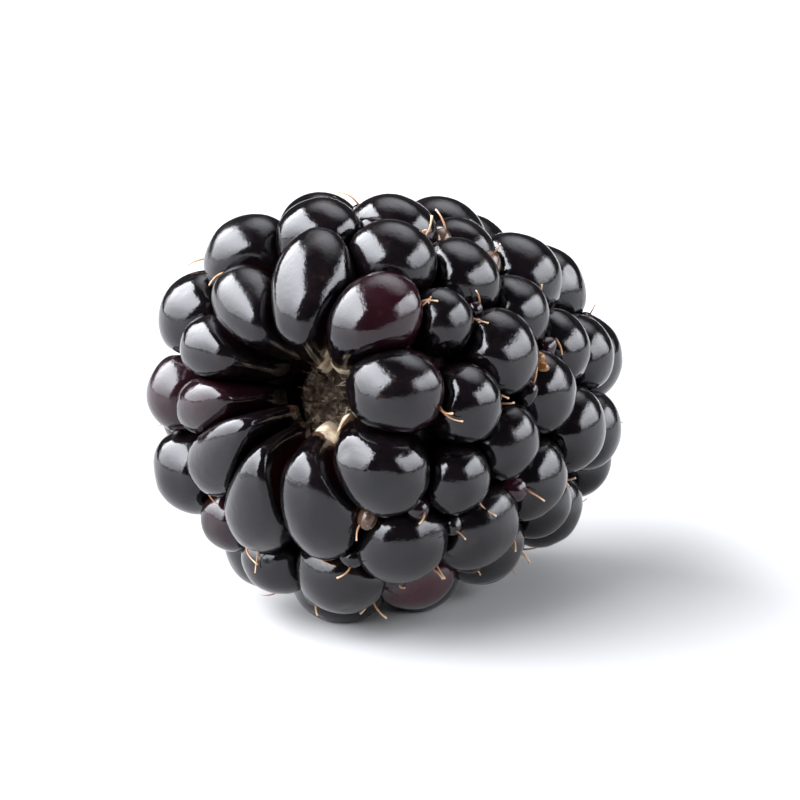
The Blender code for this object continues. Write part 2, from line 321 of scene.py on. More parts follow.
def seats():
    """Angle, azimuth, half width and ring number of each drupelet, before they settle."""
    draw = np.random.default_rng(SEED)
    angles = [np.full(len(RIM_AZIMUTHS), np.radians(RIM_ANGLE))]
    azimuths = [np.radians(RIM_AZIMUTHS)]
    sizes = [np.array(RIM_SIZES) * MM]
    for ring in ring_angles():
        count = int(round(2 * np.pi * meridian(ring)[1] / DRUPELET_STEP))
        turn = RING_TURN + 2 * np.pi * (draw.uniform() + np.arange(count)) / count
        angles.append(ring + WANDER * draw.uniform(-1, 1, count))
        azimuths.append(turn + WANDER * draw.uniform(-1, 1, count))
        spread = 1 + SIZE_SPREAD * draw.uniform(-1, 1, count)
        small = draw.uniform(0, 1, count) < SMALL_SHARE
        sizes.append(DRUPELET_SIZE * np.where(small, SMALL_SIZE, spread))
    ring = np.repeat(np.arange(len(angles)), [len(each) for each in angles])
    return np.concatenate(angles), np.concatenate(azimuths), np.concatenate(sizes), ring


def settle(angle, azimuth, size, rim):
    """Pushes apart the drupelets that crowd each other, and brings each back to the seat surface."""
    freedom = np.where(rim, RIM_FREEDOM, 1.0)[:, None]
    room = CLOSENESS * (size[:, None] + size[None, :])
    for _ in range(SETTLING_STEPS):
        centre = berry_point(*meridian(angle), azimuth)
        apart = centre[:, None] - centre[None, :]
        distance = np.linalg.norm(apart, axis=2) + np.eye(len(size))
        crowding = np.clip(room - distance, 0, None) * (1 - np.eye(len(size)))
        push = (apart / distance[:, :, None] * crowding[:, :, None]).sum(axis=1)
        centre = centre + SETTLING_PUSH * freedom * push
        centre = centre - lean(centre[:, 1])
        across = np.hypot(centre[:, 0], centre[:, 2])
        reach = np.where(centre[:, 1] < 0, STEM_REACH, TIP_REACH)
        sine = np.clip(across / SEAT_RADIUS, 0, 1) ** (1 / SHOULDER)
        angle = np.arctan2(sine, -centre[:, 1] / reach)
        azimuth = np.arctan2(centre[:, 0], centre[:, 2])
    return angle, azimuth


def grown(angle, azimuth, size, rim):
    """Each drupelet's final half width. Those on the rim keep theirs, and the rest fill the room
    that their nearest neighbours leave them, the larger ones more of it."""
    centre = berry_point(*meridian(angle), azimuth)
    distance = np.linalg.norm(centre[:, None] - centre[None, :], axis=2)
    nearest = np.sort(distance, axis=1)[:, 1 : NEIGHBOURS + 1]
    return np.where(rim, size, GROWTH * nearest.mean(axis=1) / 2 * size / DRUPELET_SIZE)


def seat_axes(angle, azimuth):
    """Each seat's three directions: sideways, towards the tip, and outward."""
    step = 1e-4
    along = berry_point(*meridian(angle + step), azimuth) - berry_point(
        *meridian(angle - step), azimuth
    )
    tipward = along / np.linalg.norm(along, axis=1, keepdims=True)
    sideways = np.stack((np.cos(azimuth), np.zeros_like(azimuth), -np.sin(azimuth)), axis=-1)
    outward = np.cross(sideways, tipward)
    outward = outward / np.linalg.norm(outward, axis=1, keepdims=True)
    return np.stack((np.cross(tipward, outward), tipward, outward), axis=1)


def to_row_frame(points):
    """Tips the berry's axis down towards the tip, and puts its waist in place."""
    cosine, sine = np.cos(AXIS_TILT), np.sin(AXIS_TILT)
    tilt = np.array(((1, 0, 0), (0, cosine, sine), (0, -sine, cosine)))
    return points @ tilt.T + WAIST_PLACE


def unit(vectors):
    """The same directions, one long."""
    return vectors / np.linalg.norm(vectors, axis=-1, keepdims=True)


# ---- Meshes ----


def grid_faces(around, rows):
    """Triangles at both poles and quads between them, of a closed grid: first pole, rows, last
    pole. Seen from the first pole the rows run anticlockwise."""
    here = np.arange(around)
    after = (here + 1) % around
    last = 1 + around * rows
    bottom = last - around
    first_fan = np.stack((0 * here, 1 + here, 1 + after), axis=-1)
    last_fan = np.stack((bottom + here, last + 0 * here, bottom + after), axis=-1)
    row = 1 + around * np.arange(rows - 1)[:, None]
    quads = np.stack((row + here, row + around + here, row + around + after, row + after), axis=-1)
    return np.vstack((first_fan, last_fan)), quads.reshape(-1, 4)


def make_piece(name, points, around, material, slot, nodes=(), **marks):
    """One piece of closed grids, all alike: points is (grids, points of a grid, 3) in the row
    frame, and each mark is a value for every point."""
    grids, each = points.shape[:2]
    fans, quads = grid_faces(around, (each - 2) // around)
    step = each * np.arange(grids)[:, None, None]
    faces = (fans + step).reshape(-1, 3).tolist() + (quads + step).reshape(-1, 4).tolist()
    mesh = bpy.data.meshes.new(name)
    mesh.from_pydata(points.reshape(-1, 3).tolist(), [], faces)
    for mark, values in marks.items():
        layer = mesh.attributes.new(mark, "FLOAT", "POINT")
        layer.data.foreach_set("value", np.ascontiguousarray(values, np.float32).ravel())
    mesh.shade_smooth()
    mesh.materials.append(material)
    made = bpy.data.objects.new(name, mesh)
    bpy.context.scene.collection.objects.link(made)
    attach(made, "root")
    if nodes:
        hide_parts(*nodes)


# ---- The drupelets ----


class Head:
    """The seated drupelets: centres, axes, half sizes, and the draws that make each its own."""

    def __init__(self):
        """Seats the drupelets as the solid ones are, and then draws their looks."""
        angle, azimuth, size, self.ring = seats()
        rim = self.ring == 0
        angle, azimuth = settle(angle, azimuth, size, rim)
        self.size = grown(angle, azimuth, size, rim)
        self.centre = berry_point(*meridian(angle), azimuth)
        self.axes = seat_axes(angle, azimuth)
        stretch = np.ones(len(self.size))
        stretch[rim] = RIM_STRETCHES
        self.half = np.stack((self.size, self.size * stretch, self.size * RISE), axis=-1)
        self.inner = self.half[:, 1].copy()
        self.inner[rim] = self.size[rim] * RIM_INNER_STRETCHES
        self.root = ROOT * self.size
        self.root[rim] = np.array(RIM_ROOTS) * MM
        self.draw_looks(len(self.size))

    def draw_looks(self, count):
        """Draws each drupelet's lumps, blush, satin, dents and the way of its style, in that
        order."""
        draw = np.random.default_rng(LUMP_SEED)
        self.lump_way = unit(draw.normal(size=(count, LUMPS, 3)))
        self.lump_pitch = draw.uniform(*LUMP_PITCHES, (count, LUMPS))
        self.lump_turn = draw.uniform(0, 2 * np.pi, (count, LUMPS))
        self.blush = np.where(draw.uniform(0, 1, count) < BLUSH_SHARE, FAINT_BLUSH, 0.0)
        self.blush_way = unit(draw.normal(size=(count, 3)) + BLUSH_LEAN)
        for seat, share, way in BLUSHES:
            self.blush[seat], self.blush_way[seat] = share, unit(np.array(way))
        self.satin = draw.uniform(0, 1, count) ** 1.5
        self.dent_way = unit(draw.normal(size=(count, DENTS, 3)) + DENT_LEAN)
        self.dent_depth = draw.uniform(*DENT_DEPTHS, (count, DENTS))
        self.dent_width = draw.uniform(*DENT_WIDTHS, (count, DENTS))
        for seat, way, depth, width in NOTCHES:
            self.dent_way[seat, 0] = unit(np.array(way))
            self.dent_depth[seat, 0], self.dent_width[seat, 0] = depth, width
        side = draw.uniform(*STYLE_SIDES, count)
        rise = draw.uniform(*STYLE_RISES, count)
        self.style_way = unit(np.stack((side, 0 * side + 1, rise), axis=-1))

    def sizes_of(self, which, ways):
        """Half sizes of these drupelets in their own axes, along the side of the seat that each
        way takes: stemward or tipward, and below or above."""
        depth = np.where(ways[..., 2] < 0, self.root[which, None], self.half[which, None, 2])
        length = np.where(ways[..., 1] < 0, self.inner[which, None], self.half[which, None, 1])
        return np.stack((0 * depth + self.half[which, None, 0], length, depth), -1)

    def reach_towards(self, which, ways):
        """How far the ellipsoids of these seats reach in given directions of the berry's frame."""
        local = np.einsum("n...k,njk->n...j", ways, self.axes[which])
        share = np.linalg.norm(local / self.sizes_of(which, local), axis=-1)
        return 1 / np.maximum(share, 1e-9)

    def walls(self, which):
        """Direction and distance of the wall that each seat shares with every other one. It
        divides the gap between their centres as their own reaches do."""
        gap = self.centre[None] - self.centre[which][:, None]
        distance = np.linalg.norm(gap, axis=-1)
        alone = distance < 1e-6
        toward = gap / np.where(alone, 1, distance)[..., None]
        own = self.reach_towards(which, toward)
        its = self.reach_towards(np.arange(len(self.size)), np.swapaxes(-toward, 0, 1)).T
        wall = np.where(alone, 1.0, distance * own / (own + its + 1e-12) + OVERLAP)
        return toward, wall

    def pressed(self, which, looks):
        """Way and reach of the skins of these drupelets in the berry's frame, by the directions
        looked along, and the share of the reach that pressing leaves.

        Each reaches as far as its ellipsoid and no farther than its walls: the reach is the
        inverse PRESSING-th root of the sum of the inverse powers, so that it rounds into each
        wall. Below its seat a rim drupelet tapers by the PETAL_FULLNESS power of the sine."""
        looks = np.broadcast_to(looks, (len(which),) + looks.shape[-2:])
        below = looks[..., 2] < 0
        across = np.hypot(looks[..., 0], looks[..., 1])
        petal = below & (self.ring[which, None] == 0) & (across > 1e-6)
        fuller = np.where(petal, np.where(petal, across, 1.0) ** (PETAL_FULLNESS - 1), 1.0)
        local = looks * self.sizes_of(which, looks)
        local = local * np.stack((fuller, fuller, 1 + 0 * fuller), -1)
        base = np.einsum("nmj,njk->nmk", local, self.axes[which])
        length = np.linalg.norm(base, axis=-1)
        way = base / length[..., None]
        toward, wall = self.walls(which)
        facing = np.clip(np.einsum("nmk,nok->nmo", way, toward), 0, None)
        press = ((facing / wall[:, None]) * length[..., None]) ** PRESSING
        left = (1 + press.sum(axis=-1)) ** (-1 / PRESSING)
        return way, length * left, left

    def skin(self, which, looks):
        """Points of these drupelets in the row frame, with their crease, blush, satin and pith marks.
        The crease mark places painted shade and a painted red glow. Slow lumps, dents and the dimple
        at the style are taken off the pressed skin."""
        way, reach, left = self.pressed(which, looks)
        # How far into its crease each point lies, for the painted shade and painted red glow
        crease = np.clip((1 - left) / CREASE_LOSS, 0, 1)
        wave = np.einsum("mk,nlk->nml", looks, self.lump_way[which])
        wave = np.sin(2 * wave * self.lump_pitch[which][:, None] + self.lump_turn[which][:, None])
        reach = reach * (1 + LUMP_DEPTH * wave.mean(axis=-1))
        near_style = looks @ self.style_way[which].T
        reach = reach * (1 - DIMPLE_DEPTH * np.exp((near_style.T - 1) / DIMPLE_WIDTH))
        near_dent = np.einsum("mk,nlk->nml", looks, self.dent_way[which])
        bell = np.exp((near_dent - 1) / self.dent_width[which][:, None])
        reach = reach * (1 - (bell * self.dent_depth[which][:, None]).sum(axis=-1))
        points = clear_of_pith(self.centre[which][:, None] + way * reach[..., None])
        pith = pith_share(points)
        points = to_row_frame(points)
        points[..., 2] = np.clip(points[..., 2], 0, None)
        tint = (looks @ self.blush_way[which].T).T
        blush = self.blush[which][:, None] * np.clip(BLUSH_EVEN + BLUSH_FADE * tint, 0, 1)
        satin = self.satin[which][:, None] + 0 * blush
        return points, {"crease": crease, "blush": blush, "satin": satin, "pith": pith}


def pith_radius(station):
    """Radius of the receptacle and of the way in to it at a station, and nought beyond them."""
    way_in = (RECEPTACLE_PROFILE[0][0] - MOUTH_ROOM, RECEPTACLE_PROFILE[0][1] + MOUTH_FLARE)
    profile = np.array((way_in,) + RECEPTACLE_PROFILE + ((RECEPTACLE_TIP / MM, 0.0),)) * MM
    return np.interp(station, profile[:, 0], profile[:, 1], left=0.0, right=0.0)


def pull(station):
    """How far the stalk pulled the receptacle at a station: by the square of its way to the tip."""
    mouth = RECEPTACLE_PROFILE[0][0] * MM
    share = (RECEPTACLE_TIP - station) / (RECEPTACLE_TIP - mouth)
    return PITH_PULL * np.clip(share, 0, 1)[..., None] ** 2


def clear_of_pith(points):
    """Moves points straight out from the axis until they are just under the receptacle's side, or
    clear of the way in to it."""
    bent = lean(points[..., 1]) + pull(points[..., 1])
    straight = points - bent
    across = np.hypot(straight[..., 0], straight[..., 2])
    least = np.clip(pith_radius(straight[..., 1]) - PITH_SINK, 0, None)
    grow = np.where(across < least, least / np.clip(across, 1e-6, None), 1.0)
    straight = straight * np.stack((grow, np.ones_like(grow), grow), axis=-1)
    return straight + bent


def pith_share(points):
    """How much pith stuck to the drupelets at these points, 0 to 1: a ramp on the distance from
    the axis, times one along it, and most of it beside the flaps."""
    straight = points - lean(points[..., 1]) - pull(points[..., 1])
    across = np.hypot(straight[..., 0], straight[..., 2])
    azimuth = np.arctan2(straight[..., 0], straight[..., 2])
    beside = np.clip(flap(azimuth, "cream"), 0, 1)
    reach = STUCK_REACH + beside * STUCK_MORE
    close = np.clip((reach - across) / STUCK_FADE, 0, 1)
    first, last = STUCK_STATIONS
    inside = np.clip((points[..., 1] - first) / (last - first), 0, 1) * (points[..., 1] < 0)
    return close * (STUCK_LEAST + (1 - STUCK_LEAST) * beside) * inside


def drupelet_looks(around, down, last):
    """Unit directions in a seat's own axes: its apex, rows down to the last angle, and its base."""
    polar = np.linspace(0, last, down + 1)[1:, None]
    turn = (2 * np.pi * np.arange(around) / around)[None, :]
    rows = np.stack(
        (np.sin(polar) * np.cos(turn), np.sin(polar) * np.sin(turn), np.cos(polar) + 0 * turn),
        axis=-1,
    ).reshape(-1, 3)
    return np.vstack(((0, 0, 1), rows, (0, 0, -1.0)))


def make_drupelets(head, material):
    """One piece for the rim and one for each ring behind it."""
    looks = drupelet_looks(AROUND, DOWN, BASE_ANGLE)
    for ring in range(head.ring.max() + 1):
        which = np.flatnonzero(head.ring == ring)
        points, marks = head.skin(which, looks)
        name = f"drupelets_ring_{ring}" if ring else "drupelets_rim"
        make_piece(name, points, AROUND, material, "drupelet_skin", ("drupelets",), **marks)


# ---- The flesh and the receptacle ----


def turned(profile, around):
    """A closed body turned round the berry's axis: each row of the profile gives station and
    radius, round the turn or for all of it, and the first and last rows are its poles."""
    turn = -2 * np.pi * np.arange(around) / around
    rows = [berry_point(*np.broadcast_arrays(*row, turn)[:2], turn) for row in profile[1:-1]]
    poles = [berry_point(np.array(end[0]), 0.0, 0.0)[None, :] for end in (profile[0], profile[-1])]
    return np.vstack((poles[0], *rows, poles[1]))[None]


def make_flesh(material):
    """A thick cup between the drupelets: along the seats less a depth, and back along the
    receptacle's side, closed where both meet at the tip and in front."""
    side = [(s * MM, r * MM - PITH_SINK) for s, r in RECEPTACLE_PROFILE[1:]]
    inner = [(RECEPTACLE_TIP - PITH_SINK, 0.0)] + side[::-1]
    funnel = [(s * MM, r * MM) for s, r in FUNNEL_PROFILE]
    station, distance = meridian(np.linspace(*FLESH_ANGLES, FLESH_DOWN))
    distance = np.clip(distance - FLESH_DEPTH, FLESH_TIP_RADIUS, None)
    station = np.clip(station, None, TIP_REACH - FLESH_DEPTH)
    outer = list(zip(station, distance)) + [(TIP_REACH - FLESH_DEPTH, 0.0)]
    points = turned(inner + funnel + outer, FLESH_AROUND)
    across = np.hypot(points[..., :1], points[..., 2:])
    points = points + pull(points[..., 1]) * np.clip(1 - across / PULL_REACH, 0, 1)
    make_piece(
        "flesh", to_row_frame(points), FLESH_AROUND, material, "drupelet_skin", ("drupelets",)
    )


def flap(azimuth, which):
    """How much of a flap stands at each azimuth: the sum of a bell for each flap, over its spread.
    The name picks its height or its flare, in metres, or its share of cream."""
    total = 0.0
    for middle, spread, height, flare in FLAPS:
        off = (np.degrees(azimuth) - middle + 180.0) % 360.0 - 180.0
        size = {"height": height * MM, "flare": flare * MM, "cream": 1.0}[which]
        total = total + size * np.exp(-((off / spread) ** 2))
    return total


def torn_lip(turn):
    """How far the lip lies below the mouth at each azimuth: waves, less the flaps."""
    waves = sum(share * np.sin(count * turn + 5 * count) for count, share in TORN_WAVES)
    return TORN_HEIGHT * waves - flap(turn, "height") + LIP_DROP


def receptacle_rows(turn):
    """Rows of the receptacle, (station, radius, crater mark, cream mark), from the crater's floor up
    its wall, over the torn lip and down the side to the tip. The crater mark is painted shade, full
    at the floor and gone from the lip on. The fibres are waves of falling height round every row."""
    draw = np.random.default_rng(RECEPTACLE_SEED)
    phases = draw.uniform(0, 6.28, len(FIBRE_WAVES))
    pits = draw.uniform(0, 6.28, (CRATER_ROWS, len(PIT_WAVES)))
    fibre = sum(np.sin(c * turn + phase) / c**0.5 for c, phase in zip(FIBRE_WAVES, phases))
    torn, cream = torn_lip(turn), np.clip(flap(turn, "cream"), 0, 1)
    mouth, outer = RECEPTACLE_PROFILE[0][0] * MM, RECEPTACLE_PROFILE[0][1] * MM
    # Each row's crater mark is the painted shade down the crater
    rows = [(mouth + CRATER_DEPTH, 0.0, 1.0, 0.0)]
    for number, share in enumerate(np.linspace(FIRST_SHARE, 1.0, CRATER_ROWS)):
        pit = sum(np.sin(c * turn + phase) for c, phase in zip(PIT_WAVES, pits[number // PIT_ROWS]))
        deep = CRATER_DEPTH * (1 - share**4) + torn * share**5 + PIT_DEPTH * pit * (1 - share**6)
        wall = CRATER_RADIUS * share + WALL_FIBRE * fibre * share
        rows.append((mouth + deep, wall, 1 - share**6, share**3 * cream))
    for share in np.linspace(0, 1, LIP_ROWS + 1)[1:]:
        over = torn * (1 - LIP_FADE * share) + TORN_HEIGHT * np.sin(share * np.pi) * LIP_ROUND
        radius = CRATER_RADIUS + (outer - CRATER_RADIUS + flap(turn, "flare")) * share
        rows.append((mouth + over, radius + LIP_FIBRE * fibre, 0.0, cream))
    profile = np.array(RECEPTACLE_PROFILE + ((RECEPTACLE_TIP / MM, 0.0),)) * MM
    for station in np.linspace(mouth + SIDE_START, RECEPTACLE_TIP, SIDE_ROWS + 1)[:-1]:
        radius = np.interp(station, profile[:, 0], profile[:, 1])
        rows.append((station, radius + SIDE_FIBRE * fibre, 0.0, SIDE_CREAM * cream))
    return rows + [(RECEPTACLE_TIP, 0.0, 0.0, 0.0)]


def make_receptacle(material):
    """The receptacle, its rows turned round the axis and pulled as the stalk pulled them."""
    turn = -2 * np.pi * np.arange(RECEPTACLE_AROUND) / RECEPTACLE_AROUND
    stations, radii, crater, cream = zip(*receptacle_rows(turn))
    points = turned(list(zip(stations, radii)), RECEPTACLE_AROUND)
    points = points + pull(points[..., 1])
    marks = {
        name: np.concatenate(
            ([rows[0]], *[np.broadcast_to(row, RECEPTACLE_AROUND) for row in rows[1:-1]], [rows[-1]])
        )
        for name, rows in (("crater", crater), ("cream", cream))
    }
    make_piece(
        "torn_receptacle", to_row_frame(points), RECEPTACLE_AROUND, material, "receptacle_pith",
        ("receptacle",), **marks,
    )


def make_fibres(material):
    """Torn pith fibres, standing and curling round the crater's wall and lip: tubes that taper to
    half, along curves of their own."""
    draw = np.random.default_rng(FIBRE_SEED)
    azimuth = draw.uniform(0, 2 * np.pi, FIBRES)
    share = draw.uniform(*FIBRE_SHARES, FIBRES)
    station = RECEPTACLE_PROFILE[0][0] * MM + FIBRE_DROP
    station = station + CRATER_DEPTH * np.clip(1 - share**4, 0, 1)
    station = station - FIBRE_RISE * flap(azimuth, "height")
    starts = berry_point(station, CRATER_RADIUS * share, azimuth)
    outward = berry_point(0 * station, np.ones(FIBRES), azimuth)
    spread = outward * np.where(share > FIBRE_OUTSIDE, FIBRE_OUTWARD, -FIBRE_INWARD)[:, None]
    ways = unit(spread + FIBRE_WAY + HAIR_STRAY * draw.normal(size=starts.shape))
    lengths = draw.uniform(*FIBRE_LENGTHS, FIBRES) * MM
    paths = hair_paths(starts + pull(starts[:, 1]), ways, lengths, draw)
    radii = draw.uniform(*FIBRE_RADII, FIBRES)[:, None] * MM
    cream = np.clip(flap(azimuth, "cream") + draw.uniform(-0.3, 0.2, FIBRES), 0, 1)
    points = to_row_frame(tubes(paths, np.linspace(1, 0.5, HAIR_STATIONS) * radii, FIBRE_AROUND))
    make_piece(
        "pith_fibres", points, FIBRE_AROUND, material, "receptacle_pith", ("receptacle",),
        crater=np.zeros(points.shape[:2]), cream=np.broadcast_to(cream[:, None], points.shape[:2]),
    )


# ---- Styles and stunted carpels ----


def tubes(paths, radii, around):
    """Closed tubes: each path, (tubes, stations, 3), carries rings square to it with the radius
    given at each station, and ends in a pole."""
    tangent = unit(np.gradient(paths, axis=1))
    helper = np.where(np.abs(tangent[:, :1, 2:]) > 0.8, (1.0, 0, 0), (0, 0, 1.0))
    across = unit(np.cross(tangent, np.broadcast_to(helper, tangent.shape)))
    other = np.cross(tangent, across)
    turn = -2 * np.pi * (1 + np.arange(around)) / around
    cosine, sine = np.cos(turn)[:, None], np.sin(turn)[:, None]
    ring = (across[:, :, None] * cosine + other[:, :, None] * sine) * radii[:, :, None, None]
    rows = (paths[:, :, None] + ring).reshape(len(paths), -1, 3)
    return np.concatenate((paths[:, :1], rows, paths[:, -1:]), axis=1)


def hair_paths(starts, ways, lengths, draw):
    """A curve from each start: it sets off along its way, and bends by the square and the cube of
    its share of the length, in two directions square to it."""
    along = np.linspace(0, 1, HAIR_STATIONS)[None, :, None]
    bend = unit(np.cross(ways, draw.normal(size=ways.shape)))[:, None]
    twist = np.cross(ways, bend[:, 0])[:, None]
    curl = draw.uniform(*HAIR_CURLS, len(ways))[:, None, None]
    hook = draw.uniform(*HAIR_HOOKS, len(ways))[:, None, None]
    run = (along - HAIR_ROOT) * ways[:, None] + curl * along**2 * bend + hook * along**3 * twist
    return starts[:, None] + lengths[:, None, None] * run


def inside_box(points):
    """Which of these styles stay near the solids' box, and off the ground."""
    low, high = np.array(CAD_BOX) + np.array(((-1.0,), (1.0,))) * STYLE_ROOM
    low[2] = STYLE_CLEARANCE
    return ((points > low) & (points < high)).all(axis=(1, 2))


def make_styles(head, carpels, material):
    """Dried styles. Each leaves its drupelet's tipward side at the crease, or the top of a carpel,
    and curls as it goes. Its radius falls evenly, and swells by a bell at its stigma. Those that
    would reach under the berry or out of its box are left out, as they have broken off."""
    draw = np.random.default_rng(STYLE_SEED)
    keep = np.flatnonzero(draw.uniform(0, 1, len(head.size)) < STYLE_SHARE)
    which = np.concatenate((keep, draw.choice(keep, SECOND_STYLES, replace=False)))
    looks = unit(head.style_way[which] + draw.normal(size=(len(which), 3)) * STYLE_SCATTER)
    way, reach, _ = head.pressed(which, looks[:, None])
    starts = head.centre[which] + way[:, 0] * reach
    along_skin = unit(np.cross(way[:, 0], draw.normal(size=starts.shape)))
    own, outward, along = STYLE_WAY
    ways = unit(own * way[:, 0] + outward * head.axes[which, 2] + along * along_skin)
    starts = np.concatenate((starts, carpels[0]))
    astray = HAIR_STRAY * draw.normal(size=carpels[1].shape)
    ways = np.concatenate((ways, unit(carpels[1] + astray)))
    paths = hair_paths(starts, ways, draw.uniform(*STYLE_LENGTHS, len(starts)), draw)
    share = np.linspace(0, 1, HAIR_STATIONS)[None, :]
    taper = (1 - STYLE_THINNING * share) * draw.uniform(*STYLE_RADII, len(starts))[:, None]
    taper = taper * (1 + STIGMA_SWELLING * np.exp(-(((share - 1) / STIGMA_WIDTH) ** 2)))
    points = to_row_frame(tubes(paths, taper, STYLE_AROUND))
    points = points[inside_box(points)]
    station = np.concatenate(([0], np.repeat(share.ravel(), STYLE_AROUND), [1]))
    make_piece(
        "dried_styles", points, STYLE_AROUND, material, "dried_style", (),
        along=np.broadcast_to(station, points.shape[:2]),
    )


def crevices(head):
    """The seats of each three drupelets that all touch, their middle, and the outward way there."""
    apart = np.linalg.norm(head.centre[:, None] - head.centre[None, :], axis=2)
    near = apart < TOUCHING * (head.size[:, None] + head.size[None, :])
    i, j, k = np.nonzero(near[:, :, None] & near[None, :, :] & near[:, None, :])
    ordered = (i < j) & (j < k) & (head.ring[i] + head.ring[j] + head.ring[k] > 0)
    three = np.stack((i, j, k), axis=1)[ordered]
    return three, head.centre[three].mean(axis=1), unit(head.axes[three, 2].mean(axis=1))


def amber_seats(head):
    """For each amber carpel: the seats round it, its middle, its outward way and its half width.
    The middle is shifted sideways and upwards along the berry's skin."""
    three = np.array([amber[:3] for amber in AMBERS])
    away = unit(head.axes[three, 2].mean(axis=1))
    side = unit(np.cross(away, (0, 0, 1.0)))
    shift = np.array([amber[4] for amber in AMBERS])[:, :, None] * MM
    middle = head.centre[three].mean(axis=1)
    middle = middle + shift[:, 0] * side + shift[:, 1] * np.cross(side, away)
    return three, middle, away, np.array([amber[3] for amber in AMBERS]) * MM


def make_carpels(head, material):
    """Small carpels that never filled, each pushed into a crevice between three drupelets: a
    sphere with a slow wave on it, drawn out by the cube of the cosine towards its top. Gives back
    the top of each ripe one and its outward way."""
    draw = np.random.default_rng(CARPEL_SEED)
    three, middle, outward = crevices(head)
    chosen = draw.uniform(0, 1, len(middle)) < CARPEL_SHARE
    size = draw.uniform(*CARPEL_SIZES, np.count_nonzero(chosen))
    ambers = amber_seats(head)
    amber = np.repeat((0.0, 1.0), (len(size), len(AMBERS)))
    three = np.concatenate((three[chosen], ambers[0]))
    middle = np.concatenate((middle[chosen], ambers[1]))
    outward = np.concatenate((outward[chosen], ambers[2]))
    size = np.concatenate((size, ambers[3]))
    rise = CARPEL_RISE * head.size[three].mean(axis=1) + AMBER_RISE * amber
    centre = middle + rise[:, None] * outward
    pointed = unit(outward + CARPEL_SLANT * draw.normal(size=outward.shape))
    side = unit(np.cross(pointed, draw.normal(size=outward.shape)))
    axes = np.stack((side, np.cross(pointed, side), pointed), axis=1)
    looks = drupelet_looks(CARPEL_AROUND, CARPEL_DOWN, CARPEL_BASE)
    wave = np.sin(3 * np.einsum("mk,nk->nm", looks, unit(draw.normal(size=outward.shape))) + 2)
    point = CARPEL_POINT * np.clip(looks[:, 2], 0, 1) ** 3
    reach = size[:, None] * (1 + CARPEL_WAVE * wave + point)
    points = to_row_frame(centre[:, None] + np.einsum("nm,mj,njk->nmk", reach, looks, axes))
    points[..., 2] = np.clip(points[..., 2], CARPEL_CLEARANCE, None)
    ruby = CARPEL_RUBY * draw.uniform(0, 1, len(middle)) ** 2
    dry = (draw.uniform(0, 1, len(middle)) < DRY_SHARE) * (1 - amber)
    marks = {"blush": ruby, "satin": CARPEL_SATIN * (1 - amber), "amber": amber}
    marks.update(pith=DRY_LOOK * dry, crease=0 * amber)
    make_piece(
        "stunted_carpels", points, CARPEL_AROUND, material, "drupelet_skin", ("drupelets",),
        **{name: each[:, None] + 0 * reach for name, each in marks.items()},
    )
    ripe = amber == 0
    return (centre + pointed * (CARPEL_TOP * size)[:, None])[ripe], pointed[ripe]


# ---- Finishes ----


def new_finish(name):
    """A material, its nodes, and its Principled shader."""
    made = bpy.data.materials.new(name)
    made.use_nodes = True
    tree = made.node_tree
    return made, tree, tree.nodes["Principled BSDF"]


def feed(tree, socket, value):
    """Links the value if it is a socket, and sets it if it is a number or a colour."""
    if isinstance(value, bpy.types.NodeSocket):
        tree.links.new(value, socket)
    else:
        socket.default_value = value


def put(tree, kind, settings=None, **inputs):
    """A node with its settings and its named inputs."""
    node = tree.nodes.new(kind)
    for key, value in (settings or {}).items():
        setattr(node, key, value)
    for key, value in inputs.items():
        feed(tree, node.inputs[key.replace("_", " ")], value)
    return node


def reckon(tree, operation, *values):
    """The result of a Math node on two or three values."""
    node = put(tree, "ShaderNodeMath", {"operation": operation})
    for socket, value in zip(node.inputs, values):
        feed(tree, socket, value)
    return node.outputs[0]


def mark(tree, name):
    """One of the piece's own marks."""
    return put(tree, "ShaderNodeAttribute", {"attribute_name": name}).outputs["Fac"]


def noise(tree, scale, detail=3.0, roughness=0.5):
    """Noise on the piece's own coordinates, of this many cells to a metre."""
    place = put(tree, "ShaderNodeTexCoord").outputs["Object"]
    made = put(
        tree, "ShaderNodeTexNoise", None,
        Vector=place, Scale=scale, Detail=detail, Roughness=roughness,
    )
    return made.outputs["Fac"]


def ramp(tree, value, low, high, out_low=0.0, out_high=1.0):
    """A smooth step from one value to another, as the first goes from low to high."""
    made = put(
        tree, "ShaderNodeMapRange", {"interpolation_type": "SMOOTHSTEP"},
        Value=value, From_Min=low, From_Max=high, To_Min=out_low, To_Max=out_high,
    )
    return made.outputs["Result"]


def blend(tree, share, first, second):
    """The first colour where the share is nought, and the second where it is one."""
    made = put(tree, "ShaderNodeMix", {"data_type": "RGBA"})
    feed(tree, made.inputs[0], share)
    for socket, colour in ((made.inputs[6], first), (made.inputs[7], second)):
        feed(tree, socket, (*colour, 1) if isinstance(colour, tuple) else colour)
    return made.outputs[2]


def roughen(tree, shader, strength, depth, height, under=None):
    """A bump of this depth on the shader, over another bump if there is one."""
    more = {} if under is None else {"Normal": under.outputs["Normal"]}
    bump = put(tree, "ShaderNodeBump", None, Strength=strength, Distance=depth, Height=height, **more)
    feed(tree, shader.inputs["Normal"], bump.outputs["Normal"])
    return bump


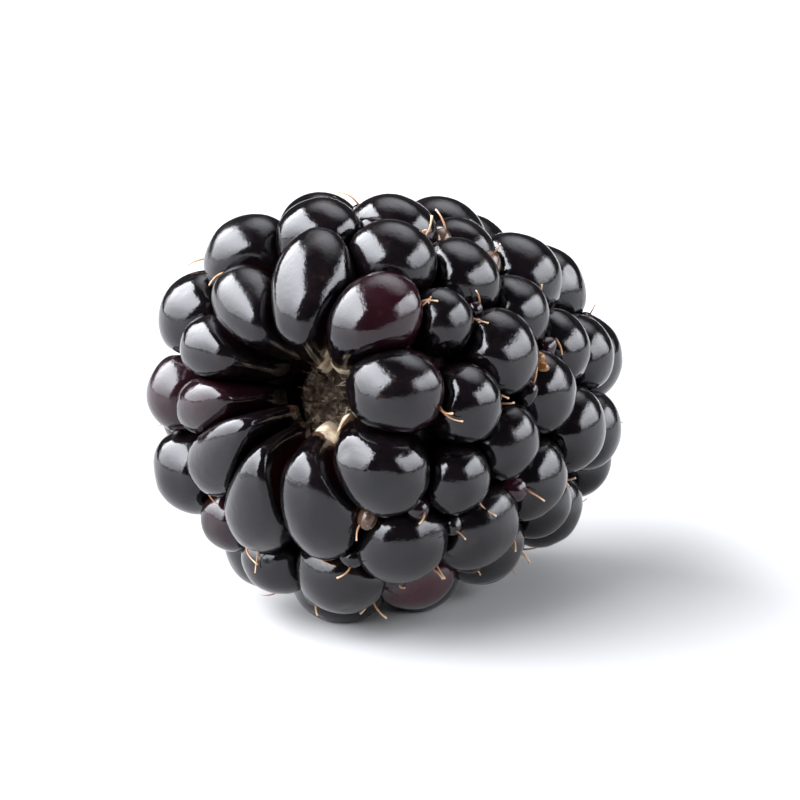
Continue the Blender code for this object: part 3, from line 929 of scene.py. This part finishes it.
def skin_colour(tree, mottle, tissue, ragged, pithy):
    """Near black and mottled, ruby where it blushes, with painted shade and a painted red glow in the
    creases, amber where it is unripe, and cream over a brown edge where pith stuck to it."""
    dark = blend(
        tree, ramp(tree, mottle, 0.35, 0.7), (0.0012, 0.0009, 0.0011), (0.0036, 0.0021, 0.0027)
    )
    ruby = blend(tree, mark(tree, "blush"), dark, (0.050, 0.0040, 0.0120))
    # Painted shade and a painted red glow: towards the creases the skin turns dark ruby
    crease_glow_and_shade = ramp(tree, mark(tree, "crease"), 0.35, 1.0, 0.0, 0.8)
    deep = blend(tree, crease_glow_and_shade, ruby, (0.014, 0.0008, 0.0014))
    bruised = blend(tree, ramp(tree, ragged, 0.05, 0.45, 0.0, 0.8), deep, (0.060, 0.032, 0.018))
    stuck = blend(tree, ramp(tree, tissue, 0.3, 0.7), (0.20, 0.14, 0.085), (0.60, 0.53, 0.41))
    ripe = blend(tree, pithy, bruised, stuck)
    return blend(tree, mark(tree, "amber"), ripe, (0.15, 0.058, 0.011))


def skin_finish():
    """Drupelet skin, wet. Some drupelets keep a satin bloom, and their reflections spread. Where
    pith is stuck it is dull."""
    made, tree, shader = new_finish("drupelet skin")
    mottle, fine = noise(tree, 900.0, 4.0, 0.6), noise(tree, 4200.0, 3.0, 0.6)
    tissue = noise(tree, 1300.0, 5.0, 0.65)
    loose = ramp(tree, tissue, 0.2, 0.8, -0.35, 0.2)
    ragged = reckon(tree, "MULTIPLY_ADD", mark(tree, "pith"), 1.5, loose)
    pithy = ramp(tree, ragged, 0.6, 0.95)
    colour = skin_colour(tree, mottle, tissue, ragged, pithy)
    feed(tree, shader.inputs["Base Color"], colour)
    bloom = ramp(tree, mark(tree, "satin"), 0.0, 1.0, 0.0, 0.10)
    rough = reckon(tree, "ADD", bloom, ramp(tree, mottle, 0.3, 0.75, 0.04, 0.12))
    dull = reckon(tree, "ADD", rough, ramp(tree, pithy, 0.0, 1.0, 0.0, 0.5))
    feed(tree, shader.inputs["Roughness"], dull)
    shader.inputs["IOR"].default_value = 1.45
    shader.inputs["Specular Tint"].default_value = (0.95, 0.96, 1.0, 1)
    slow = put(tree, "ShaderNodeBump", None, Strength=0.7, Distance=0.05 * MM, Height=mottle)
    roughen(tree, shader, 0.4, 0.02 * MM, fine, slow)
    return made


def flesh_finish():
    """Flesh between the drupelets: dark wet ruby."""
    made, tree, shader = new_finish("crease flesh")
    spots = ramp(tree, noise(tree, 700.0), 0.35, 0.7)
    colour = blend(tree, spots, (0.002, 0.0009, 0.001), (0.011, 0.002, 0.0025))
    feed(tree, shader.inputs["Base Color"], colour)
    shader.inputs["Roughness"].default_value = 0.42
    shader.inputs["IOR"].default_value = 1.3
    roughen(tree, shader, 0.9, 0.15 * MM, noise(tree, 1800.0))
    return made


def pith_finish():
    """Receptacle: bruised brown pith with dark pits, painted shade darkening it down the crater, and
    cream flaps.
    """
    made, tree, shader = new_finish("receptacle pith")
    spots, pits = noise(tree, 1100.0, 5.0, 0.7), noise(tree, 2600.0, 3.0, 0.6)
    cream = blend(tree, ramp(tree, spots, 0.3, 0.7), (0.24, 0.175, 0.11), (0.64, 0.57, 0.45))
    brown = blend(tree, ramp(tree, spots, 0.35, 0.65), (0.060, 0.034, 0.020), (0.30, 0.235, 0.17))
    pitted = blend(tree, ramp(tree, pits, 0.42, 0.56, 1.0, 0.0), brown, (0.016, 0.007, 0.0035))
    # Painted shade down the crater: towards its floor the pith turns near black
    dark = blend(tree, ramp(tree, pits, 0.40, 0.62, 0.9, 0.45), brown, (0.020, 0.008, 0.003))
    deep = blend(tree, mark(tree, "crater"), pitted, dark)
    patchy = ramp(tree, spots, 0.25, 0.5, 0.6, 1.0)
    bright = reckon(tree, "MULTIPLY", mark(tree, "cream"), patchy)
    feed(tree, shader.inputs["Base Color"], blend(tree, bright, deep, cream))
    shader.inputs["Roughness"].default_value = 0.7
    roughen(tree, shader, 0.8, 0.12 * MM, spots)
    return made


def style_finish():
    """Dried style: brown at its foot, golden, and paler at its tip."""
    made, tree, shader = new_finish("dried style")
    along = mark(tree, "along")
    foot = blend(tree, ramp(tree, along, 0.0, 0.5), (0.08, 0.033, 0.015), (0.30, 0.145, 0.062))
    tip = blend(tree, ramp(tree, along, 0.55, 1.0), foot, (0.50, 0.34, 0.22))
    feed(tree, shader.inputs["Base Color"], tip)
    shader.inputs["Roughness"].default_value = 0.45
    return made


# ---- Studio ----

VIEW_AZIMUTH = np.radians(33.0)
VIEW_RISE = 14.0
VIEW_DISTANCE = 0.235
VIEW_LENS = 200
TARGET = (0.0, 0.0, 10.5 * MM)
VIEW_CLIP = (0.005, 10.0)
FLOOR_REACH = 3.0
FLOOR_COLOUR = (0.37, 0.37, 0.374, 1)
WORLD_COLOUR = (0.07, 0.07, 0.075, 1)

# The light panels: degrees to the right of the camera and above the berry, width, height,
# radiance, share of it left at the foot, and share of the panel that its soft edge takes
PANEL_DISTANCE = 0.90
PANEL_COLOUR = (0.95, 0.965, 1.0)
PANELS = {
    "left panel": (-80, 33, 2.20, 1.20, 17.5, 0.35, 0.10),
    "right panel": (84, 20, 1.50, 0.66, 10.5, 0.5, 0.22),
    "overhead panel": (150, 62, 1.50, 1.10, 3.4, 1.0, 0.45),
}


def aim(made, place):
    """Puts a camera or a lamp in its place, facing the berry."""
    made.location = place
    made.rotation_mode = "QUATERNION"
    made.rotation_quaternion = (Vector(TARGET) - Vector(place)).to_track_quat("-Z", "Y")


def place_round(turn, rise, distance):
    """A place round the berry: turn is degrees to the right of the camera, rise is above it."""
    azimuth = VIEW_AZIMUTH + np.radians(turn)
    up = np.radians(rise)
    way = np.array((np.sin(azimuth) * np.cos(up), -np.cos(azimuth) * np.cos(up), np.sin(up)))
    return np.array(TARGET) + way * distance


def soft_edge(tree, share, edge):
    """Nought at either end of a span from 0 to 1, and one within an edge of them."""
    up = ramp(tree, share, 0.0, edge)
    return reckon(tree, "MULTIPLY", up, ramp(tree, share, 1.0 - edge, 1.0, 1.0, 0.0))


def make_panel(name, turn, rise, width, height, radiance, foot, edge):
    """A soft light panel facing the berry, of a radiance that falls to a share of it at its foot,
    and to nothing over the edge's share of it on every side."""
    lamp = bpy.data.lights.new(name, "AREA")
    lamp.shape = "RECTANGLE"
    lamp.size, lamp.size_y = width, height
    lamp.color = PANEL_COLOUR
    lamp.energy = radiance * np.pi * width * height
    lamp.use_nodes = True
    tree = lamp.node_tree
    place = put(tree, "ShaderNodeNewGeometry").outputs["Parametric"]
    parts = put(tree, "ShaderNodeSeparateXYZ", None, Vector=place)
    across = soft_edge(tree, parts.outputs["X"], edge)
    up = soft_edge(tree, parts.outputs["Y"], edge)
    fall = ramp(tree, parts.outputs["Y"], 0.1, 0.75, foot, 1.0)
    strength = reckon(tree, "MULTIPLY", reckon(tree, "MULTIPLY", across, up), fall)
    feed(tree, tree.nodes["Emission"].inputs["Strength"], strength)
    made = bpy.data.objects.new(name, lamp)
    bpy.context.scene.collection.objects.link(made)
    made.visible_camera = False
    aim(made, place_round(turn, rise, PANEL_DISTANCE))


def make_floor():
    """A pale floor that the berry lies on."""
    corners = np.array(((-1, -1, 0), (1, -1, 0), (1, 1, 0), (-1, 1, 0))) * FLOOR_REACH
    mesh = bpy.data.meshes.new("floor")
    mesh.from_pydata(corners.tolist(), [], [(0, 1, 2, 3)])
    floor = bpy.data.objects.new("floor", mesh)
    bpy.context.scene.collection.objects.link(floor)
    white, _, shader = new_finish("white sweep")
    shader.inputs["Base Color"].default_value = FLOOR_COLOUR
    shader.inputs["Roughness"].default_value = 0.6
    mesh.materials.append(white)


def make_studio():
    """The camera, the panels, a dim world and the floor."""
    camera = bpy.data.cameras.new("camera")
    camera.lens = VIEW_LENS
    camera.clip_start, camera.clip_end = VIEW_CLIP
    made = bpy.data.objects.new("camera", camera)
    bpy.context.scene.collection.objects.link(made)
    bpy.context.scene.camera = made
    aim(made, place_round(0.0, VIEW_RISE, VIEW_DISTANCE))
    for name, panel in PANELS.items():
        make_panel(name, *panel)
    world = bpy.data.worlds.new("studio")
    world.use_nodes = True
    world.node_tree.nodes["Background"].inputs["Color"].default_value = WORLD_COLOUR
    bpy.context.scene.world = world
    make_floor()
    bpy.context.scene.view_settings.view_transform = "Standard"


head = Head()
skin_material = skin_finish()
make_drupelets(head, skin_material)
make_flesh(flesh_finish())
pith_material = pith_finish()
make_receptacle(pith_material)
make_fibres(pith_material)
carpels = make_carpels(head, skin_material)
make_styles(head, carpels, style_finish())
make_studio()
